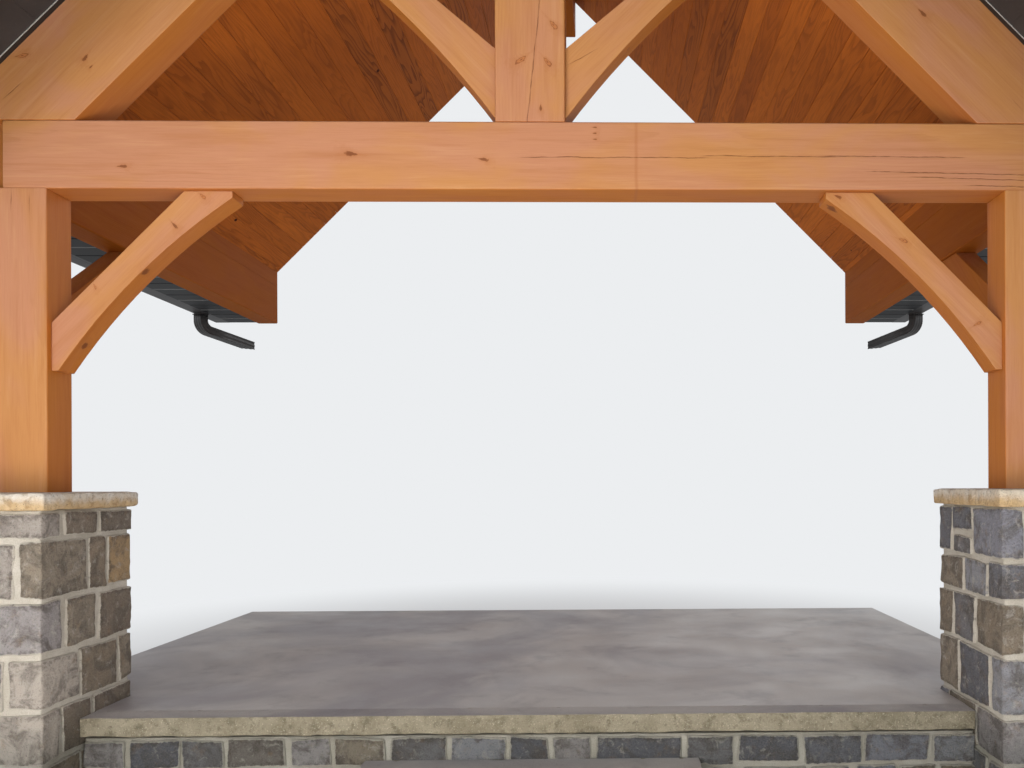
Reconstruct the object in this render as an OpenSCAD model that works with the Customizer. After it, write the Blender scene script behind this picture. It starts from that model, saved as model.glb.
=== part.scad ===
// Gabled timber-framed entrance porch: a raised stone-faced platform, two stone piers with cast caps,
// a king post frame on two posts, side beams that run back to the house wall, a boarded ceiling and a
// shingled roof with soffits, gutters and downspouts. Everything ends at the plane of the house wall.
// Millimetres. X runs to the right seen from the garden, Y runs towards the house, Z is up.
// The origin is on the centre line, at ground level, in the plane of the house wall.

/* [Platform] */
// Height of the porch floor above the ground
floor_z = 410; // [300:10:700]
// How far the side edges of the floor lie inside the outer faces of the piers
slab_inset = 80; // [0:5:150]
// Distance from the house wall to the front edge of the floor
floor_depth = 3135; // [2600:5:4200]
// Thickness of the floor slab
slab_t = 100; // [80:5:150]
// Height of the cast edge along the front of the floor
nosing_h = 88; // [60:1:110]
// Depth of the cast edge, front to back
nosing_d = 130; // [80:5:200]
// How far the floor and its cast edge stand out over the foundation
nosing_lip = 30; // [10:5:60]
// Radius of the worn top edge of the cast edge
nosing_r = 10; // [3:1:20]
// Thickness of the foundation walls
foundation_t = 200; // [150:10:300]

/* [Entry step] */
// Height of the step below the floor
riser = 208; // [150:1:240]
// Width of the step
step_w = 1520; // [1000:10:2400]
// Depth of the step's tread
step_d = 330; // [250:10:500]
// Thickness of the tread slab
tread_t = 60; // [40:5:100]
// How far the tread stands out over its riser
tread_lip = 25; // [0:5:40]

/* [Stone piers] */
// Distance from the centre line to the inner face of a pier
pier_in = 2020; // [1700:5:2200]
// Width of a pier
pier_w = 620; // [500:5:800]
// Depth of a pier, front to back
pier_d = 663; // [500:1:800]
// How far a pier stands in front of the edge of the floor
pier_proud = 238; // [150:1:300]
// Height of a pier's cap above the floor
pier_top = 1010; // [800:5:1300]
// Thickness of a cap
cap_t = 75; // [50:5:120]
// How far a cap stands out over its pier
cap_lip = 25; // [10:5:80]
// Bevel along the top and bottom edges of a cap
cap_bevel = 8; // [2:1:15]

/* [Timber frame] */
// Thickness of the main timbers, front to back
timber_t = 182; // [140:2:240]
// Bevel along the edges of every timber
arris = 6; // [2:1:15]
// Width of a post
post_w = 350; // [250:5:450]
// Height of a post above its cap
post_h = 1357; // [1100:1:1700]
// Height of the tie beam
tie_h = 305; // [220:5:380]
// Width of a side beam, whose outer face is in line with the post's
side_w = 160; // [120:5:220]
// Width of the level part of a side beam's top, inside the slope of the roof
side_seat = 116; // [60:1:118]
// How far the front end of a side beam stands back from the face of the tie beam
side_setback = 35; // [0:5:80]
// Width of the king post
king_w = 315; // [200:5:400]
// Depth of the principal rafters, square to the slope
rafter_d = 407; // [250:1:450]
// Width of the ridge beam
ridge_w = 224; // [140:2:300]
// Depth of the ridge beam below the peak of the ceiling
ridge_h = 398; // [250:2:500]

/* [Curved braces] */
// Thickness of the braces, front to back
brace_t = 116; // [80:2:140]
// Length of a brace along the post or the tie beam, measured to its curved edge
brace_leg = 810; // [600:2:1000]
// Width of a brace along the post or the tie beam
brace_foot = 216; // [160:2:300]
// Length of a side brace along the side beam, measured to its curved edge
side_leg = 1110; // [800:5:1300]
// Width of a side brace along the side beam
side_foot = 270; // [180:5:340]
// Rise of the curve of a brace at the middle
brace_bow = 53; // [20:1:90]
// Height of the small square end of a brace
brace_nose = 30; // [6:1:40]
// Height above the tie beam where the lower edge of a king strut starts
strut_low = 25; // [10:5:80]
// Width of a king strut along the king post
strut_foot = 318; // [240:2:400]
// Width of a king strut along the rafter
strut_head = 150; // [110:2:220]
// Slope of a king strut, in degrees
strut_angle = 44; // [38:0.5:52]

/* [Roof] */
// Slope of the roof, in degrees
pitch = 45; // [40:0.5:50]
// Thickness of the ceiling boards
ceiling_t = 20; // [12:1:35]
// Depth of the roof from the underside of the ceiling to the top of the rafters, square to the slope
roof_core = 101; // [80:1:180]
// Thickness of the roof deck above the rafters
deck_t = 24; // [15:1:40]
// Thickness of the shingle courses
shingle_t = 16; // [8:1:25]
// Exposed length of one course of shingles
shingle_gauge = 145; // [100:5:250]
// How far the shingles stand out over the boards along the front edge and the eaves
shingle_lip = 18; // [5:1:40]
// How far the roof stands out in front of the frame
rake_out = 400; // [250:10:600]
// Thickness of the boards under the front overhang
rake_soffit_t = 18; // [10:1:30]
// Thickness of the board along the front edge of the roof
rake_board_t = 28; // [18:1:45]
// Depth of the board along the front edge of the roof, square to the slope
rake_board_d = 170; // [120:5:260]
// Width of the ridge cap on each slope
ridge_cap_w = 150; // [100:5:220]
// Thickness of the ridge cap
ridge_cap_t = 8; // [4:1:15]

/* [Eaves] */
// Width of the level soffit from the side beam to the fascia
soffit_w = 230; // [150:1:300]
// Height of the soffit's underside above the underside of the side beams
soffit_up = 8; // [6:1:40]
// Thickness of the soffit panel
soffit_t = 14; // [8:1:20]
// Thickness of the fascia
fascia_t = 26; // [18:1:40]
// Width of a gutter across its top
gutter_w = 127; // [100:1:160]
// Width of a gutter's flat floor
gutter_floor_w = 86; // [70:1:96]
// Height of a gutter
gutter_h = 118; // [90:1:140]
// Height of the straight lip along the front of a gutter
gutter_lip = 22; // [10:1:30]
// Thickness of the gutter's metal
gutter_t = 3; // [2:0.5:5]
// Distance of the gutter's outlet from the house wall
outlet_y = 350; // [250:10:600]
// Width of a downspout
spout_w = 90; // [60:2:100]
// Depth of a downspout
spout_d = 62; // [45:1:80]
// Length of the upright part of a downspout above its elbow
spout_drop = 50; // [20:5:120]
// Radius of the elbow, to the inside of the bend
spout_bend = 45; // [20:5:90]
// Fall of the lower run of a downspout, in degrees
spout_slope = 10; // [4:1:40]
// Angle of the lower run to the way straight back to the wall, in degrees
spout_turn = 32; // [0:1:50]

/* [Hidden] */
$fn = 48;

TIMBER = [0.72, 0.45, 0.26];
STONE = [0.47, 0.44, 0.40];
CAST = [0.74, 0.71, 0.66];
DARK = [0.16, 0.15, 0.15];

// Heights above the ground
foundation_h = floor_z - slab_t;
cap_z = floor_z + pier_top;
tie_z = cap_z + post_h;
tie_top = tie_z + tie_h;

// Planes along Y, with the house wall at zero
floor_front = -floor_depth;
pier_front = floor_front - pier_proud;
pier_back = pier_front + pier_d;
frame_front = (pier_front + pier_back - timber_t) / 2;
frame_back = frame_front + timber_t;
roof_front = frame_front - rake_out;

// Planes along X, with each post in the middle of its pier
post_in = pier_in + (pier_w - post_w) / 2;
side_out = post_in + post_w;
side_in = side_out - side_w;
fascia_in = side_out + soffit_w;
fascia_out = fascia_in + fascia_t;
floor_edge = pier_in + pier_w - slab_inset;

// Where the slope of the ceiling meets the level top of the side beams, and its peak
side_shoulder = side_in + side_seat;
peak_z = tie_top + side_shoulder * tan(pitch);

// Underside of the eaves
eave_z = tie_z + soffit_up;

// How far below the underside of the ceiling the rafters reach, square to the slope
rafter_under = roof_core - rafter_d;

// The slope: height of a plane that lies OFF square above the underside of the ceiling, at X
function slope_z(x, off = 0) = peak_z + off / cos(pitch) - x * tan(pitch);

// Points of an arc from A to B that bows by RISE to the left of the way from A to B
function arc_points(a, b, rise, n = 12) =
    let (d = b - a, len = norm(d), r = (len * len / 4 + rise * rise) / (2 * rise),
         half = asin(len / 2 / r), mid = (a + b) / 2, left = [-d[1], d[0]] / len,
         centre = mid + left * (rise - r))
    [for (i = [0:n]) let (t = half - 2 * half * i / n)
        centre + r * (left * cos(t) - d / len * sin(t))];

// A copy on each side of the centre line
module both_sides() {
    children();
    mirror([1, 0, 0]) children();
}

// The left piece is the right one mirrored
module left_of() {
    mirror([1, 0, 0]) children();
}

// An outline in the plane of the front, given thickness along Y from y_near back to y_far
module front_slab(y_near, y_far) {
    translate([0, y_far, 0]) rotate([90, 0, 0]) linear_extrude(y_far - y_near) children();
}

// A bar of W by D standing on the XY plane with bevelled edges
module bevelled_outline(w, d, bevel) {
    polygon([
        [bevel, 0], [w - bevel, 0], [w, bevel], [w, d - bevel],
        [w - bevel, d], [bevel, d], [0, d - bevel], [0, bevel]
    ]);
}

// A timber between two corners, with bevelled edges along its length
module timber_x(from, to) {
    size = to - from;
    translate(from) rotate([90, 0, 90]) linear_extrude(size[0])
        bevelled_outline(size[1], size[2], arris);
}

module timber_z(from, to) {
    size = to - from;
    translate(from) linear_extrude(size[2]) bevelled_outline(size[0], size[1], arris);
}

// Foundation walls under the front and the two sides of the floor
module foundation_walls() {
    face_x = floor_edge - nosing_lip;
    face_y = floor_front + nosing_lip;
    color(STONE) {
        translate([-pier_in, face_y, 0]) cube([2 * pier_in, foundation_t, foundation_h]);
        both_sides() translate([face_x - foundation_t, pier_back, 0])
            cube([foundation_t, -pier_back, foundation_h]);
    }
}

// Packed fill between the foundation walls
module platform_fill() {
    inner_x = floor_edge - nosing_lip - foundation_t;
    inner_y = floor_front + nosing_lip + foundation_t;
    color([0.55, 0.53, 0.50]) linear_extrude(foundation_h) polygon([
        [-pier_in, inner_y], [pier_in, inner_y], [pier_in, pier_back], [inner_x, pier_back],
        [inner_x, 0], [-inner_x, 0], [-inner_x, pier_back], [-pier_in, pier_back]
    ]);
}

// Floor slab, cut round the piers
module porch_slab() {
    front = floor_front + nosing_d;
    color([0.66, 0.62, 0.58]) translate([0, 0, foundation_h]) linear_extrude(slab_t) polygon([
        [-pier_in, front], [pier_in, front], [pier_in, pier_back], [floor_edge, pier_back],
        [floor_edge, 0], [-floor_edge, 0], [-floor_edge, pier_back], [-pier_in, pier_back]
    ]);
}

// Cast edge along the front of the floor, between the piers, with a worn top edge
module slab_nosing() {
    bed = slab_t - nosing_h;
    color(CAST) translate([-pier_in, floor_front, foundation_h])
        rotate([90, 0, 90]) linear_extrude(2 * pier_in) polygon(concat(
            [[nosing_lip, 0], [nosing_d, 0], [nosing_d, slab_t]],
            [for (a = [90:15:180]) [nosing_r * (1 + cos(a)), slab_t - nosing_r * (1 - sin(a))]],
            [[0, bed], [nosing_lip, bed]]
        ));
}

// Entry step: a riser block with a cast tread on it
module entry_step() {
    top = floor_z - riser;
    back = floor_front + nosing_lip;
    front = back - step_d;
    color(STONE) translate([-step_w / 2 + tread_lip, front + tread_lip, 0])
        cube([step_w - 2 * tread_lip, step_d - tread_lip, top - tread_t]);
    color(CAST) translate([-step_w / 2, front, top - tread_t])
        cube([step_w, step_d, tread_t]);
}

// Stone pier, on the right
module pier() {
    color(STONE) translate([pier_in, pier_front, 0]) cube([pier_w, pier_d, cap_z - cap_t]);
}

// Cast cap of a pier, with small bevels, on the right
module pier_cap() {
    w = pier_w + 2 * cap_lip;
    d = pier_d + 2 * cap_lip;
    color(CAST) translate([pier_in - cap_lip, pier_front - cap_lip, cap_z - cap_t]) hull() {
        translate([cap_bevel, cap_bevel, 0]) cube([w - 2 * cap_bevel, d - 2 * cap_bevel, cap_t]);
        translate([0, 0, cap_bevel]) cube([w, d, cap_t - 2 * cap_bevel]);
    }
}

// Post on the right, standing on the cap
module post() {
    color(TIMBER) timber_z([post_in, frame_front, cap_z], [side_out, frame_back, tie_z]);
}

// Tie beam on the posts, between the side beams
module tie_beam() {
    color(TIMBER) timber_x([-side_in, frame_front, tie_z], [side_in, frame_back, tie_top]);
}

// Side beam on the right, from the post back to the house wall, its top cut to the slope
module side_beam() {
    color(TIMBER) front_slab(frame_front + side_setback, 0) polygon([
        [side_in + arris, tie_z], [side_out - arris, tie_z], [side_out, tie_z + arris],
        [side_out, slope_z(side_out)], [side_shoulder, tie_top], [side_in, tie_top],
        [side_in, tie_z + arris]
    ]);
}

// Bevelled strips that close the gap between the side beams and the ceiling
module friezes() {
    color(TIMBER) both_sides() front_slab(frame_back, 0) polygon([
        [side_in, tie_top], [side_shoulder, tie_top], [side_in, slope_z(side_in)]
    ]);
}

// King post on the tie beam, pointed to fit under the rafters
module king_post() {
    half = king_w / 2;
    color(TIMBER) intersection() {
        timber_z([-half, frame_front, tie_top], [half, frame_back, slope_z(0, rafter_under)]);
        front_slab(frame_front, frame_back) polygon([
            [-half, tie_top], [half, tie_top], [half, slope_z(half, rafter_under)],
            [0, slope_z(0, rafter_under)], [-half, slope_z(half, rafter_under)]
        ]);
    }
}

// Principal rafter on the right, from the tie beam to a plumb cut at the peak
module rafter() {
    foot = (slope_z(0, rafter_under) - tie_top) / tan(pitch);
    color(TIMBER) front_slab(frame_front, frame_back) polygon([
        [foot, tie_top], [side_shoulder, tie_top], [side_out, slope_z(side_out)],
        [side_out, slope_z(side_out, roof_core)], [0, slope_z(0, roof_core)],
        [0, slope_z(0, rafter_under)]
    ]);
}

// Outline of a brace in the corner of a post at X = 0 and a beam at Z = 0: LEG and FOOT are its
// length and width along the beam. It is straight towards the corner and curved below.
module brace_outline(leg, foot) {
    polygon(concat(
        [[leg - foot, 0], [0, brace_foot - brace_leg], [0, -brace_leg]],
        arc_points([brace_nose, -brace_leg], [leg, -brace_nose], brace_bow),
        [[leg, 0]]
    ));
}

// Front knee brace on the right, between the post and the tie beam
module knee_brace() {
    inset = (timber_t - brace_t) / 2;
    color(TIMBER) front_slab(frame_front + inset, frame_back - inset)
        translate([post_in, tie_z]) mirror([1, 0]) brace_outline(brace_leg, brace_foot);
}

// Side brace on the right, from the back of the post to the side beam, where it reaches further
module side_brace() {
    middle = (side_in + side_out) / 2;
    color(TIMBER) translate([middle - brace_t / 2, frame_back, tie_z])
        rotate([90, 0, 90]) linear_extrude(brace_t) brace_outline(side_leg, side_foot);
}

// Curved strut on the right, from the foot of the king post up to the rafter
module king_strut() {
    inset = (timber_t - brace_t) / 2;
    low = [king_w / 2, tie_top + strut_low];
    high = low + [0, strut_foot];
    run = (slope_z(low[0], rafter_under) - low[1]) / (tan(strut_angle) + tan(pitch));
    tip = [low[0] + run, slope_z(low[0] + run, rafter_under)];
    along = [-cos(pitch), sin(pitch)];
    color(TIMBER) front_slab(frame_front + inset, frame_back - inset) polygon(concat(
        arc_points(low, tip, brace_bow), [tip + along * strut_head], [high]
    ));
}

// Ridge beam from the frame back to the house wall, its top cut to both slopes
module ridge_beam() {
    half = ridge_w / 2;
    bottom = peak_z - ridge_h;
    color(TIMBER) front_slab(frame_back, 0) polygon([
        [-half + arris, bottom], [half - arris, bottom], [half, bottom + arris],
        [half, slope_z(half)], [0, peak_z], [-half, slope_z(half)], [-half, bottom + arris]
    ]);
}

// A layer of the roof on the right, from LOW to HIGH square above the ceiling, out to X_END
module roof_layer(low, high, x_end, y_near, y_far) {
    front_slab(y_near, y_far) polygon([
        [0, slope_z(0, low)], [x_end, slope_z(x_end, low)],
        [x_end, slope_z(x_end, high)], [0, slope_z(0, high)]
    ]);
}

// Ceiling boards on the right
module ceiling() {
    color([0.49, 0.27, 0.12]) roof_layer(0, ceiling_t, side_out, frame_back, 0);
}

// Roof deck on the right: a thick core behind the frame and a thin deck over and in front of it
module roof_deck() {
    color([0.62, 0.52, 0.38]) {
        roof_layer(roof_core, roof_core + deck_t, fascia_out, roof_front + rake_board_t, 0);
        roof_layer(ceiling_t, roof_core, side_out, frame_back, 0);
    }
}

// Shingle courses on the right, each lapping the one below
module shingles() {
    base = roof_core + deck_t;
    reach = fascia_out + shingle_lip;
    run = shingle_gauge * cos(pitch);
    count = floor(reach / run);
    color([0.30, 0.29, 0.28]) front_slab(roof_front - shingle_lip, 0) polygon(concat(
        [[0, slope_z(0, base)], [reach, slope_z(reach, base)]],
        [for (i = [0:count - 1]) let (x = reach - i * run)
            each [[x, slope_z(x, base + shingle_t)],
                  [x - run, slope_z(x - run, base + shingle_t / 2)]]],
        [[0, slope_z(0, base + shingle_t / 2)]]
    ));
}

// Folded cap over the ridge
module ridge_cap() {
    low = roof_core + deck_t + shingle_t;
    high = low + ridge_cap_t;
    reach = ridge_cap_w * cos(pitch);
    color([0.27, 0.26, 0.25]) front_slab(roof_front - shingle_lip, 0) polygon([
        [0, slope_z(0, low)], [reach, slope_z(reach, low)], [reach, slope_z(reach, high)],
        [0, slope_z(0, high)], [-reach, slope_z(reach, high)], [-reach, slope_z(reach, low)]
    ]);
}

// Boards under the front overhang, on the right
module rake_soffit() {
    color(DARK) roof_layer(roof_core - rake_soffit_t, roof_core, fascia_in,
        roof_front + rake_board_t, frame_front);
}

// Board along the front edge of the roof, on the right, wider where it closes the end of the eave
module rake_board() {
    top = roof_core + deck_t;
    low = top - rake_board_d;
    color(DARK) front_slab(roof_front, roof_front + rake_board_t) polygon([
        [0, slope_z(0, low)], [side_out, slope_z(side_out, low)], [side_out, eave_z],
        [fascia_out, eave_z], [fascia_out, slope_z(fascia_out, top)], [0, slope_z(0, top)]
    ]);
}

// Fascia along the right eave
module fascia() {
    color(DARK) front_slab(roof_front + rake_board_t, 0) polygon([
        [fascia_in, eave_z], [fascia_out, eave_z],
        [fascia_out, slope_z(fascia_out, roof_core)], [fascia_in, slope_z(fascia_in, roof_core)]
    ]);
}

// Level soffit under the right eave, turned up at the front beside the overhang
module eave_soffit() {
    front = roof_front + rake_board_t;
    color(DARK) {
        translate([side_out, front, eave_z]) cube([soffit_w, -front, soffit_t]);
        front_slab(front, frame_front) polygon([
            [side_out, eave_z], [side_out + soffit_t, eave_z],
            [side_out + soffit_t, slope_z(side_out + soffit_t, roof_core - rake_soffit_t)],
            [side_out, slope_z(side_out, roof_core - rake_soffit_t)]
        ]);
    }
}

// Outline of a gutter with a curved front, its back on the fascia at X = 0 and its floor at Z = 0
module gutter_outline(grow) {
    belly = [(gutter_floor_w + gutter_w) / 2, (gutter_h - gutter_lip) * 2 / 3];
    offset(delta = grow) polygon(concat(
        [[0, 0]],
        arc_points([gutter_floor_w, 0], belly, belly[1] / 8, 6),
        arc_points(belly, [gutter_w, gutter_h - gutter_lip], -gutter_lip / 5, 4),
        [[gutter_w, gutter_h], [0, gutter_h]]
    ));
}

// Gutter along the right eave, with a closed end at the front
module gutter() {
    color(DARK) translate([fascia_out, 0, eave_z]) {
        front_slab(roof_front + rake_board_t, 0) difference() {
            gutter_outline(0);
            gutter_outline(-gutter_t);
            translate([gutter_t, gutter_h - 2 * gutter_t]) square([gutter_w - 4 * gutter_t, gutter_h]);
        }
        front_slab(roof_front + rake_board_t, roof_front + rake_board_t + gutter_t)
            gutter_outline(0);
    }
}

// Side view of a downspout from its outlet at the origin: an upright part, a round elbow and a
// sloping run of the given length
module spout_outline(run) {
    heel = spout_bend + spout_d;
    centre = [spout_d / 2 + spout_bend, -spout_drop];
    turn = 90 - spout_slope;
    along = [sin(turn), -cos(turn)] * run;
    inside = [for (a = [0:turn / 8:turn + 1]) centre - spout_bend * [cos(a), sin(a)]];
    outside = [for (a = [0:turn / 8:turn + 1]) centre - heel * [cos(turn - a), sin(turn - a)]];
    polygon(concat(
        [[spout_d / 2, 0]], inside, [inside[8] + along, outside[0] + along], outside,
        [[-spout_d / 2, 0]]
    ));
}

// Downspout on the right, from the gutter's outlet to the plane of the house wall
module downspout() {
    run = 2 * outlet_y / cos(spout_turn);
    color(DARK) intersection() {
        translate([fascia_out + gutter_floor_w / 2, -outlet_y, eave_z])
            rotate([0, 0, 90 + spout_turn]) front_slab(-spout_w / 2, spout_w / 2) spout_outline(run);
        translate([0, -2 * outlet_y, 0]) cube([2 * fascia_out, 2 * outlet_y, eave_z]);
    }
}

foundation_walls();
platform_fill();
porch_slab();
slab_nosing();
entry_step();
left_of() pier();  // pier_left
pier();  // pier_right
left_of() pier_cap();  // pier_cap_left
pier_cap();  // pier_cap_right
left_of() post();  // post_left
post();  // post_right
tie_beam();
left_of() side_beam();  // side_beam_left
side_beam();  // side_beam_right
friezes();
king_post();
left_of() king_strut();  // king_strut_left
king_strut();  // king_strut_right
left_of() rafter();  // rafter_left
rafter();  // rafter_right
left_of() knee_brace();  // knee_brace_left
knee_brace();  // knee_brace_right
left_of() side_brace();  // side_brace_left
side_brace();  // side_brace_right
ridge_beam();
left_of() ceiling();  // ceiling_left
ceiling();  // ceiling_right
left_of() roof_deck();  // roof_deck_left
roof_deck();  // roof_deck_right
left_of() shingles();  // shingles_left
shingles();  // shingles_right
ridge_cap();
left_of() rake_soffit();  // rake_soffit_left
rake_soffit();  // rake_soffit_right
left_of() rake_board();  // rake_board_left
rake_board();  // rake_board_right
left_of() fascia();  // fascia_left
fascia();  // fascia_right
left_of() eave_soffit();  // eave_soffit_left
eave_soffit();  // eave_soffit_right
left_of() gutter();  // gutter_left
gutter();  // gutter_right
left_of() downspout();  // downspout_left
downspout();  // downspout_right
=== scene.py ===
import itertools
import math
import random

import bmesh
import bpy
from mathutils import Euler, Matrix, Vector, noise


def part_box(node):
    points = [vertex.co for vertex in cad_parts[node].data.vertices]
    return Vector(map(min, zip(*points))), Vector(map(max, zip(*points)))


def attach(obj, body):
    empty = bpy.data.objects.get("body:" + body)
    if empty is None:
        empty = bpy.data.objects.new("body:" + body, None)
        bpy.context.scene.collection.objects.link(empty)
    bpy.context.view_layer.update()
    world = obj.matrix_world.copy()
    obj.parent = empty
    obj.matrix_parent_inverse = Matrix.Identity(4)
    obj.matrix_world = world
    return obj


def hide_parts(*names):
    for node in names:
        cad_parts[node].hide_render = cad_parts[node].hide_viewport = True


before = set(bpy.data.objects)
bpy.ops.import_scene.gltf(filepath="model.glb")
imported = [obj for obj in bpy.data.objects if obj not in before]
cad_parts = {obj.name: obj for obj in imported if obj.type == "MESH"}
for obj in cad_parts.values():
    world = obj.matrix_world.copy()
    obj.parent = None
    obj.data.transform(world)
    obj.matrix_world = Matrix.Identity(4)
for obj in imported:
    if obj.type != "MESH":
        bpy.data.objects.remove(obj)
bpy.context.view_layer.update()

# The view: a level camera in front of the porch, a little right of its centre line and at chest
# height above the floor, as in the photograph. All lengths are in metres.
PHOTO_W, PHOTO_H = 1024, 768
FOCAL_PX = 830.4
LOOK_PX = (616.6, 484.0)
camera_data = bpy.data.cameras.new("camera")
camera_data.sensor_fit = "HORIZONTAL"
camera_data.sensor_width = 36.0
camera_data.lens = camera_data.sensor_width * FOCAL_PX / PHOTO_W
camera_data.shift_x = (PHOTO_W / 2 - LOOK_PX[0]) / PHOTO_W
camera_data.shift_y = (LOOK_PX[1] - PHOTO_H / 2) / PHOTO_W
camera_data.clip_end = 200.0
camera = bpy.data.objects.new("camera", camera_data)
camera.location = (0.319, -6.876, 1.448)
camera.rotation_euler = (math.pi / 2, 0.0037, -0.0173)
bpy.context.collection.objects.link(camera)
bpy.context.scene.camera = camera
bpy.context.scene.view_settings.view_transform = "Standard"


# Light and ground: wide soft lamps high in front, low in front, at the right, behind and over the
# roof, on a plain pale floor that fades into an even pale backdrop.
def srgb(red, green, blue):
    """A colour written in screen values from 0 to 255, as linear light."""
    def linear(v):
        v /= 255
        return v / 12.92 if v <= 0.04045 else ((v + 0.055) / 1.055) ** 2.4
    return (linear(red), linear(green), linear(blue), 1.0)


class Field:
    """A value, vector, colour or shader in a node tree. Arithmetic on it adds Math nodes."""

    def __init__(self, socket):
        self.socket = socket
        self.tree = socket.id_data

    def __add__(self, other):
        return compute("ADD", self, other)

    def __sub__(self, other):
        return compute("SUBTRACT", self, other)

    def __mul__(self, other):
        return compute("MULTIPLY", self, other)

    def __truediv__(self, other):
        return compute("DIVIDE", self, other)

    def __abs__(self):
        return compute("ABSOLUTE", self)


def add_node(tree, kind, inputs=None, **settings):
    """A node with its settings and its inputs, given as plain values or as fields to link."""
    new = tree.nodes.new(kind)
    for key, value in settings.items():
        setattr(new, key, value)
    for key, value in (inputs or {}).items():
        if isinstance(value, Field):
            tree.links.new(value.socket, new.inputs[key])
        else:
            new.inputs[key].default_value = value
    return new


def field(tree, kind, inputs=None, output=0, **settings):
    """One output of a new node."""
    return Field(add_node(tree, kind, inputs, **settings).outputs[output])


def tree_of(*values):
    """The node tree of the first field among some values."""
    return next(value.tree for value in values if isinstance(value, Field))


def compute(operation, *values):
    """The result of a Math node."""
    return field(tree_of(*values), "ShaderNodeMath", dict(enumerate(values)), operation=operation)


def ramp(value, low, high):
    """Zero below LOW and one above HIGH, smooth between, or the other way round."""
    inputs = {"Value": value, "From Min": min(low, high), "From Max": max(low, high)}
    if low > high:
        inputs |= {"To Min": 1.0, "To Max": 0.0}
    return field(value.tree, "ShaderNodeMapRange", inputs, interpolation_type="SMOOTHSTEP")


def feed(node, name, value):
    """Links a field to a named input of a node."""
    value.tree.links.new(value.socket, node.inputs[name])


def area_lamp(name, place, aim, size, power, colour=(1, 1, 1)):
    """A round soft lamp at PLACE that shines on AIM."""
    lamp = bpy.data.lights.new(name, "AREA")
    lamp.shape = "DISK"
    lamp.size = size
    lamp.energy = power
    lamp.color = colour
    holder = bpy.data.objects.new(name, lamp)
    holder.location = place
    holder.visible_camera = False
    holder.rotation_euler = (Vector(aim) - Vector(place)).to_track_quat("-Z", "Y").to_euler()
    bpy.context.collection.objects.link(holder)


area_lamp("key_lamp", (-5.0, -12.3, 4.0), (0, -2.0, 1.8), 5.0, 278)
area_lamp("fill_lamp", (7.0, -9.0, 2.5), (0, -2.0, 1.8), 5.0, 60)
area_lamp("low_lamp", (-0.4, -6.0, 0.15), (0, -1.2, 4.0), 4.0, 275, (1.0, 0.93, 0.85))
area_lamp("back_lamp", (4.0, 9.0, 8.0), (0, -1.5, 2.5), 6.0, 220)
area_lamp("roof_lamp", (0.0, -1.8, 13.5), (0, -1.8, 0), 3.0, 420)

BACKDROP = srgb(236, 238, 240)
WORLD_LIGHT = 0.46
world = bpy.data.worlds.new("backdrop")
bpy.context.scene.world = world
world.use_nodes = True
tree = world.node_tree
tree.nodes.clear()
# The backdrop is seen at full strength, and lights the porch with less
seen = field(tree, "ShaderNodeLightPath", output="Is Camera Ray")
for ray in ("Is Glossy Ray", "Is Transmission Ray"):
    seen = compute("MAXIMUM", seen, field(tree, "ShaderNodeLightPath", output=ray))
strength = seen * (1.0 - WORLD_LIGHT) + WORLD_LIGHT
backdrop = field(tree, "ShaderNodeBackground", {"Color": BACKDROP, "Strength": strength})
add_node(tree, "ShaderNodeOutputWorld", {"Surface": backdrop})


def new_piece(name, mesh, *materials):
    """An object for a finished mesh whose points are already in place."""
    for material in materials[len(mesh.materials):]:
        mesh.materials.append(material)
    piece = bpy.data.objects.new(name, mesh)
    bpy.context.collection.objects.link(piece)
    return piece


def new_material(name, roughness, specular=0.5):
    """A material, its shader and the object's own coordinates."""
    material = bpy.data.materials.new(name)
    material.use_nodes = True
    shader = material.node_tree.nodes["Principled BSDF"]
    shader.inputs["Roughness"].default_value = roughness
    shader.inputs["Specular IOR Level"].default_value = specular
    return material, shader, field(material.node_tree, "ShaderNodeTexCoord", output="Object")


FLOOR_SIZE = 60.0
FLOOR_SEEN = 2.2
FLOOR_GONE = 6.0
floor_mesh = bpy.data.meshes.new("floor")
corners = [(x * FLOOR_SIZE, y * FLOOR_SIZE, 0) for x, y in ((-1, -1), (1, -1), (1, 1), (-1, 1))]
floor_mesh.from_pydata(corners, [], [(0, 1, 2, 3)])
floor_paint, shader, place = new_material("floor_paint", 0.9, 0.2)
shader.inputs["Base Color"].default_value = srgb(232, 233, 234)
# Past a few metres the floor turns into the backdrop's colour, so that no horizon shows
tree = place.tree
away = field(tree, "ShaderNodeVectorMath", {0: place}, output="Value", operation="LENGTH")
fade = ramp(away, FLOOR_SEEN, FLOOR_GONE) * field(tree, "ShaderNodeLightPath", output="Is Camera Ray")
glow = field(tree, "ShaderNodeEmission", {"Color": BACKDROP, "Strength": 1.0})
blend = field(tree, "ShaderNodeMixShader", {0: fade, 1: Field(shader.outputs[0]), 2: glow})
feed(tree.nodes["Material Output"], "Surface", blend)
new_piece("floor", floor_mesh, floor_paint)


# Piers: split-faced ashlar blocks in uneven courses, bedded in a pale sandy mortar that is smeared
# over their edges, with long and short corner blocks in turns. Each block has its own rounded and
# uneven shape, and is sunk in a rough core of mortar.
JOINT = 0.01
BLOCK_DEPTH = 0.06
MORTAR_BACK = 0.011
CORE_PAST = 0.03
RIM_REACH = 0.035
# The rough skin: the share and the fineness of each of three noises
ROUGHNESS = ((1, 9), (0.6, 22), (0.35, 55))
PIER_CORE = {"radius": 0.01, "cell": 0.03, "relief": 0.004, "skew": 0, "slot": 1}


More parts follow.
